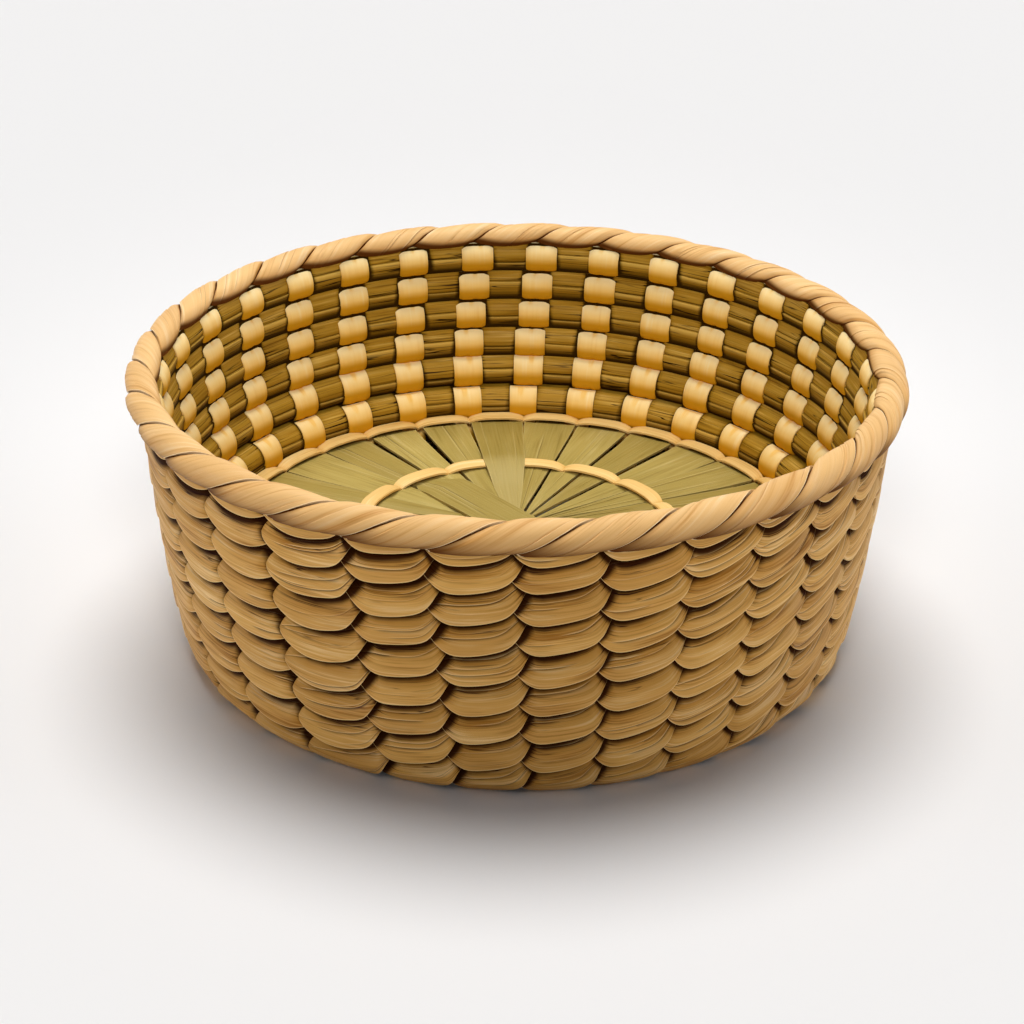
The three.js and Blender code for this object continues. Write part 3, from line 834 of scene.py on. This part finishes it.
def add_leaf(sheets, leaf):
    """One leaf of the floor, from near the middle to its tail in the wall."""
    places = rng.uniform(*LEAF_FOLD_PLACES, LEAF_FOLDS)
    shares = fold_rows(LEAF_ROWS, places)[None, :]
    across = 2 * shares - 1
    start = -CROSSING_REACH if leaf == CROSSING_LEAF else LEAF_TIP_RADIUS
    radius = np.linspace(start, LEAF_TAIL_RADIUS, LEAF_STEPS)[:, None]
    reach = np.abs(radius)
    set_back, mark = folds(shares, radius / LEAF_FOLD_LENGTH, places, LEAF_FOLD_DEPTH)
    gap = rng.uniform(*LEAF_GAPS) + rng.uniform(*LEAF_GAPS_GROW) * ease(*LEAF_GAPS_FROM, reach)
    width = np.maximum(leaf_width(reach) - gap, LEAST_LEAF_WIDTH)
    lift = rng.uniform(0, LEAF_LIFT) + LEAF_LIFT * (leaf % 2)
    angle = (leaf - 0.5 + FLOOR_TURN) * COLUMN + 0 * radius
    if leaf == CROSSING_LEAF:
        near_middle = 1 - ease(*CROSSING_ENDS, radius)
        width = np.maximum(width, CROSSING_WIDTH * near_middle)
        lift = CROSSING_LIFT * (1 - ease(*CROSSING_LIFT_ENDS, radius))
        angle = angle - FLOOR_TURN * COLUMN * near_middle
    if leaf == BACK_LEAF:
        width = np.interp(reach, BACK_LEAF_RADII, BACK_LEAF_WIDTHS)
        arch = ease(*BACK_LEAF_UP, reach) * (1 - ease(*BACK_LEAF_DOWN, reach))
        lift = BACK_LEAF_LIFT + BACK_LEAF_ARCH * arch
        mark = np.minimum(mark, -BACK_LEAF_PALE * ease(*BACK_LEAF_PALE_ENDS, reach))
    tail_width = np.interp(reach, [TAIL_FROM, OUTER_RING_RADIUS], TAIL_WIDTHS)
    width = np.where(reach > TAIL_FROM, np.minimum(width, tail_width), width)
    height = leaf_height(radius, across, lift, set_back)
    along = on_ring(angle, radius, 0 * radius)
    sideways = on_ring(angle + math.pi / 2, 1.0, 0.0)
    face = along + sideways * (across * width / 2)[..., None]
    face[..., 2] = height + LEAF_THICKNESS / 2
    back = face[:, [0, -1]].copy()
    back[..., 2] -= LEAF_THICKNESS
    fibre = stack(radius, across * width / 2, LEAF_NUMBERS + leaf / COLUMNS)
    # A painted highlight along the leaf's sides, and painted shade and highlight at its folds
    place = stack((1 - np.abs(across)) * width / 2, OPEN, LEAF_MARKS * mark)
    sheets.add_sheet(face, back, fibre, place)


def add_arch(sheets, radius, angle, half_angle, strip):
    """One strip of a floor ring, arched over what it holds down and drawn in at its ends."""
    along = np.linspace(-ARCH_REACH, ARCH_REACH, ARCH_STEPS)[:, None]
    across = np.linspace(-1, 1, ARCH_ACROSS)[None, :]
    bow = np.maximum(1 - along ** ARCH_BOW, ARCH_DIP)
    at_end, more = ARCH_WIDTHS
    width = RING_WIDTH * (at_end + more * np.maximum(bow, 0))
    width = width * rng.uniform(1 - ARCH_WIDTH_WOBBLE, 1 + ARCH_WIDTH_WOBBLE)
    at = radius + across * width / 2 + wobble(ARCH_PLACE_WOBBLE)
    rise = ARCH_RISE + (RING_HEIGHT - ARCH_FLATTER) * bow + ARCH_ROUND * (1 - across ** 2)
    height = floor_at(radius - RING_WIDTH / 2) + LEAF_THICKNESS / 2 + rise
    turn = angle + along * half_angle
    face = on_ring(turn, at, height)[:, ::-1]
    back = on_ring(turn, at, height - ARCH_THICKNESS)[:, ::-1][:, [0, -1]]
    fibre = stack(along * half_angle * radius, across * RING_WIDTH / 2, strip)
    from_end = np.maximum(1 - np.abs(along), 0) * half_angle * radius
    place = stack(OPEN, ARCH_END_SHADE + from_end, 0 * across)
    sheets.add_sheet(face, back, fibre[:, ::-1], place[:, ::-1])


# Materials

class Graph:
    """Adds nodes to a node tree and links them."""

    def __init__(self, tree):
        self.tree = tree

    def node(self, kind, **settings):
        made = self.tree.nodes.new(kind)
        for key, value in settings.items():
            setattr(made, key, value)
        return made

    def feed(self, socket, value):
        if isinstance(value, bpy.types.NodeSocket):
            self.tree.links.new(value, socket)
        else:
            socket.default_value = value

    def attribute(self, name):
        made = self.node("ShaderNodeAttribute", attribute_name=name)
        return made.outputs["Vector"]

    def split(self, vector):
        made = self.node("ShaderNodeSeparateXYZ")
        self.feed(made.inputs[0], vector)
        return made.outputs

    def noise(self, vector, scale, detail, roughness):
        """Noise over a vector that is first scaled along each axis."""
        scaled = self.node("ShaderNodeVectorMath", operation="MULTIPLY")
        self.feed(scaled.inputs[0], vector)
        scaled.inputs[1].default_value = scale
        made = self.node("ShaderNodeTexNoise")
        self.feed(made.inputs["Vector"], scaled.outputs["Vector"])
        made.inputs["Scale"].default_value = 1.0
        made.inputs["Detail"].default_value = detail
        made.inputs["Roughness"].default_value = roughness
        return made.outputs["Fac"]

    def math(self, operation, first, second=0.5):
        made = self.node("ShaderNodeMath", operation=operation)
        self.feed(made.inputs[0], first)
        self.feed(made.inputs[1], second)
        return made.outputs[0]

    def ranged(self, value, low, high, to_low=0.0, to_high=1.0):
        made = self.node("ShaderNodeMapRange", interpolation_type="SMOOTHSTEP")
        self.feed(made.inputs["Value"], value)
        made.inputs["From Min"].default_value = low
        made.inputs["From Max"].default_value = high
        made.inputs["To Min"].default_value = to_low
        made.inputs["To Max"].default_value = to_high
        return made.outputs["Result"]

    def mix(self, share, first, second, kind="RGBA"):
        made = self.node("ShaderNodeMix", data_type=kind)
        self.feed(made.inputs["Factor"], share)
        self.feed(made.inputs["A"], first)
        self.feed(made.inputs["B"], second)
        return made.outputs["Result"]

    def bump(self, height, strength, distance, normal=None):
        made = self.node("ShaderNodeBump")
        made.inputs["Strength"].default_value = strength
        made.inputs["Distance"].default_value = distance
        self.feed(made.inputs["Height"], height)
        if normal is not None:
            self.feed(made.inputs["Normal"], normal)
        return made.outputs["Normal"]


def new_material(name):
    """A material, its graph and the inputs of its shader."""
    material = bpy.data.materials.new(name)
    material.use_nodes = True
    graph = Graph(material.node_tree)
    return material, graph, material.node_tree.nodes["Principled BSDF"].inputs


def srgb(red, green, blue):
    """A colour as a screen shows it, out of 255, for a shader."""
    def linear(value):
        share = value / 255
        return share / 12.92 if share <= 0.04045 else ((share + 0.055) / 1.055) ** 2.4
    return (linear(red), linear(green), linear(blue), 1.0)


def fibre_material(name, dark, middle, pale, shade_colour, streaks=1.6, under=3.2, edge=0.75, gloss=0.25,
                   lines=1.0, contrast=1.0, tints=0.25):
    """Dried leaf or grass: fine streaks along each strip and a tint for each strip, with painted light: a
    painted highlight along the edges, painted shade and highlight at folds, thin strokes of painted crease
    shade, and painted shade under what lies over it."""
    material, graph, shader = new_material(name)
    fibre = graph.attribute("fibre")
    place = graph.split(graph.attribute("place"))
    fine = graph.noise(fibre, (FINE_ALONG, streaks, FINE_BETWEEN), *FINE_NOISE)
    broad = graph.noise(fibre, BROAD_SCALE, *BROAD_NOISE)
    strokes = graph.noise(fibre, STROKE_SCALE, *STROKE_NOISE)
    tint = graph.node("ShaderNodeTexWhiteNoise", noise_dimensions="1D")
    graph.feed(tint.inputs["W"], graph.split(fibre)["Z"])

    # Streaks from dark to pale, and a darker or lighter tint for each strip
    fine_part = graph.math("MULTIPLY", fine, FINE_SHARE)
    tone = graph.math("ADD", fine_part, graph.math("MULTIPLY", broad, 1 - FINE_SHARE))
    colour = graph.mix(graph.ranged(tone, MIDDLE - TONE_DARK / contrast, MIDDLE), dark, middle)
    colour = graph.mix(graph.ranged(tone, MIDDLE, MIDDLE + TONE_PALE / contrast), colour, pale)
    shade = graph.ranged(tint.outputs["Value"], 0.0, 1.0, 0.0, tints)
    colour = graph.mix(shade, colour, dark)

    # Thin dark strokes of painted crease shade, most of them near what lies over the strip, where the strip
    # also gets painted shade
    near = graph.ranged(place["Y"], 0.0, NEAR_REACH * under, 1.0, 0.0)
    off_middle = graph.math("ABSOLUTE", graph.math("SUBTRACT", strokes, MIDDLE))
    often = graph.math("ADD", graph.math("MULTIPLY", near, STROKES_NEAR * lines), STROKES_ALL * lines)
    line = graph.math("MULTIPLY", graph.ranged(off_middle, 0.0, STROKE_WIDTH, 1.0, 0.0), often)
    colour = graph.mix(graph.math("MULTIPLY", near, NEAR_DARK), colour, dark)
    colour = graph.mix(line, colour, shade_colour)

    # Painted shade and highlight at folds, painted shade under an edge that lies over the strip, and a
    # painted highlight along the strip's own edge
    close, clear = UNDER_ENDS
    covered_part = graph.ranged(place["Y"], close * under, clear * under, UNDER_DARK, 0.0)
    colour = graph.mix(graph.ranged(place["Z"], *OVER_FOLD), colour, pale)
    colour = graph.mix(graph.ranged(place["Z"], *UNDER_FOLD), colour, shade_colour)
    colour = graph.mix(covered_part, colour, shade_colour)
    colour = graph.mix(graph.ranged(place["X"], *EDGE_ENDS, edge, 0.0), colour, pale)

    graph.feed(shader["Base Color"], colour)
    graph.feed(shader["Roughness"], graph.ranged(fine, *ROUGHNESS))
    graph.feed(shader["Specular IOR Level"], graph.ranged(place["Y"], 0.0, GLOSS_REACH * under, 0.0, gloss))
    low = graph.bump(line, *STROKE_BUMP)
    graph.feed(shader["Normal"], graph.bump(fine, *FINE_BUMP, low))
    return material


# Colours: dark, middle and pale tones, of which dark and pale also make painted shade and highlight, then the
# colour of the painted shade
binding_strip = fibre_material(
    "binding_strip", srgb(160, 102, 26), srgb(218, 164, 80), srgb(246, 208, 142), srgb(44, 14, 0),
    under=4.0, edge=0.6, lines=1.5)
band_strip = fibre_material(
    "band_strip", srgb(240, 182, 76), srgb(253, 208, 116), srgb(255, 234, 180), srgb(208, 149, 27),
    streaks=1.0, under=3.4, lines=0.1, contrast=0.8)
rim_strip = fibre_material(
    "rim_strip", srgb(190, 130, 56), srgb(240, 196, 132), srgb(253, 226, 178), srgb(80, 38, 4),
    streaks=0.7, under=1.7, lines=0.15, contrast=0.75)
ring_strip = fibre_material(
    "ring_strip", srgb(206, 156, 74), srgb(232, 193, 120), srgb(241, 214, 154), srgb(122, 72, 14),
    streaks=1.2, under=1.1, lines=0.3)
grass = fibre_material(
    "grass", srgb(128, 88, 8), srgb(182, 138, 42), srgb(230, 188, 94), srgb(44, 26, 2),
    streaks=2.2, under=3.6, edge=0.0, gloss=0.15, lines=3.0)
floor_leaf = fibre_material(
    "floor_leaf", srgb(126, 104, 36), srgb(179, 158, 85), srgb(209, 190, 128), srgb(56, 38, 4),
    streaks=1.2, under=1.5, edge=0.2, lines=0.7, contrast=0.75, tints=0.7)


# Putting the basket together

def add_row(row):
    strips = Sheets()
    for column in range(COLUMNS):
        add_swag(strips, row, column)
    strips.make(f"binding_strips_row_{row}", [f"binding_row_{row}"], binding_strip)
    bands = Sheets()
    for column in range(COLUMNS):
        add_band(bands, row, column)
    bands.make(f"binding_bands_row_{row}", [f"binding_row_{row}"], band_strip)
    blades = Sheets()
    add_coil(blades, row)
    blades.make(f"grass_blades_row_{row}", [f"grass_coil_{row}"], grass)


def add_floor_ring(label, radius, count):
    arches = Sheets()
    half_angle = math.pi / count
    for number in range(count):
        middle = (number + 0.5) * 2 * half_angle + FLOOR_TURN * COLUMN
        add_arch(arches, radius, middle, half_angle, RING_NUMBERS + number / count)
    arches.make(f"ring_strips_{label}", [f"floor_ring_{label}"], ring_strip)


def add_rim():
    lobes = Sheets()
    for column in range(COLUMNS):
        add_lobe(lobes, column)
    lobes.make("rim_lobes", ["rim_wrap", "rim_core"], rim_strip)


def add_floor():
    for leaf in range(1, COLUMNS + 1):
        sheet = Sheets()
        add_leaf(sheet, leaf)
        sheet.make(f"leaf_{leaf:02d}", [f"floor_leaf_{leaf:02d}"], floor_leaf)
    add_floor_ring("inner", INNER_RING_RADIUS, INNER_ARCHES)
    add_floor_ring("outer", OUTER_RING_RADIUS, COLUMNS)


for row in range(1, ROWS + 1):
    add_row(row)
add_rim()
add_floor()


# Camera, table and light

def add_camera():
    data = bpy.data.cameras.new("camera")
    data.lens = CAMERA_LENS
    data.sensor_width = CAMERA_SENSOR
    data.clip_start, data.clip_end = CAMERA_CLIP
    camera = bpy.data.objects.new("camera", data)
    bpy.context.collection.objects.link(camera)
    back = Vector((0, -math.cos(CAMERA_ELEVATION), math.sin(CAMERA_ELEVATION)))
    right = Vector((1, 0, 0))
    up = back.cross(right)
    rolled_right = right * math.cos(CAMERA_ROLL) + up * math.sin(CAMERA_ROLL)
    rolled_up = up * math.cos(CAMERA_ROLL) - right * math.sin(CAMERA_ROLL)
    turned = Matrix((rolled_right, rolled_up, back)).transposed().to_4x4()
    place = (CAMERA_TARGET + back * CAMERA_DISTANCE) * MM
    camera.matrix_world = Matrix.Translation(place) @ turned
    bpy.context.scene.camera = camera


def add_table():
    mesh = bpy.data.meshes.new("floor")
    corners = [(x * TABLE_HALF, y * TABLE_HALF, 0) for x, y in ((-1, -1), (1, -1), (1, 1), (-1, 1))]
    mesh.from_pydata(corners, [], [(0, 1, 2, 3)])
    material, _, shader = new_material("floor")
    shader["Base Color"].default_value = srgb(*TABLE_COLOUR)
    shader["Roughness"].default_value = TABLE_ROUGHNESS
    shader["Specular IOR Level"].default_value = TABLE_GLOSS
    mesh.materials.append(material)
    floor = bpy.data.objects.new("floor", mesh)
    bpy.context.collection.objects.link(floor)


def add_sky():
    """Light from the sides, behind a plain backdrop that the camera and reflections see."""
    world = bpy.data.worlds.new("studio")
    world.use_nodes = True
    graph = Graph(world.node_tree)
    background = world.node_tree.nodes["Background"].inputs
    direction = graph.split(graph.node("ShaderNodeTexCoord").outputs["Generated"])
    side = graph.math("POWER", graph.math("ABSOLUTE", direction["X"]), SKY_NARROW)
    light = graph.math("ADD", graph.math("MULTIPLY", side, SKY_SIDES), SKY_LEVEL)
    ray = graph.node("ShaderNodeLightPath").outputs
    seen = graph.math("MAXIMUM", ray["Is Camera Ray"], ray["Is Glossy Ray"])
    seen = graph.math("MAXIMUM", seen, ray["Is Transmission Ray"])
    graph.feed(background["Color"], graph.mix(seen, SKY_COLOUR, BACKDROP_COLOUR))
    graph.feed(background["Strength"], graph.mix(seen, light, BACKDROP, "FLOAT"))
    bpy.context.scene.world = world


def add_lamp(name, data, source):
    """A lamp that shines from the direction of its source."""
    lamp = bpy.data.objects.new(name, data)
    bpy.context.collection.objects.link(lamp)
    lamp.rotation_mode = "QUATERNION"
    lamp.rotation_quaternion = source.to_track_quat("Z", "Y")
    return lamp


def add_lamps():
    sun = bpy.data.lights.new("softbox", "SUN")
    sun.energy = SUN_STRENGTH
    sun.angle = SUN_SPREAD
    add_lamp("softbox", sun, SUN_FROM.normalized())
    spot = bpy.data.lights.new("spot_inside", "SPOT")
    spot.energy = SPOT_POWER
    spot.spot_size = SPOT_CONE
    spot.spot_blend = SPOT_SOFT
    spot.shadow_soft_size = SPOT_SIZE
    lamp = add_lamp("spot_inside", spot, SPOT_FROM - SPOT_AIM)
    lamp.location = SPOT_FROM * MM
    lamp.scale = (SPOT_WIDEN, 1.0, 1.0)


add_camera()
add_table()
add_sky()
add_lamps()
bpy.context.scene.view_settings.view_transform = "Standard"
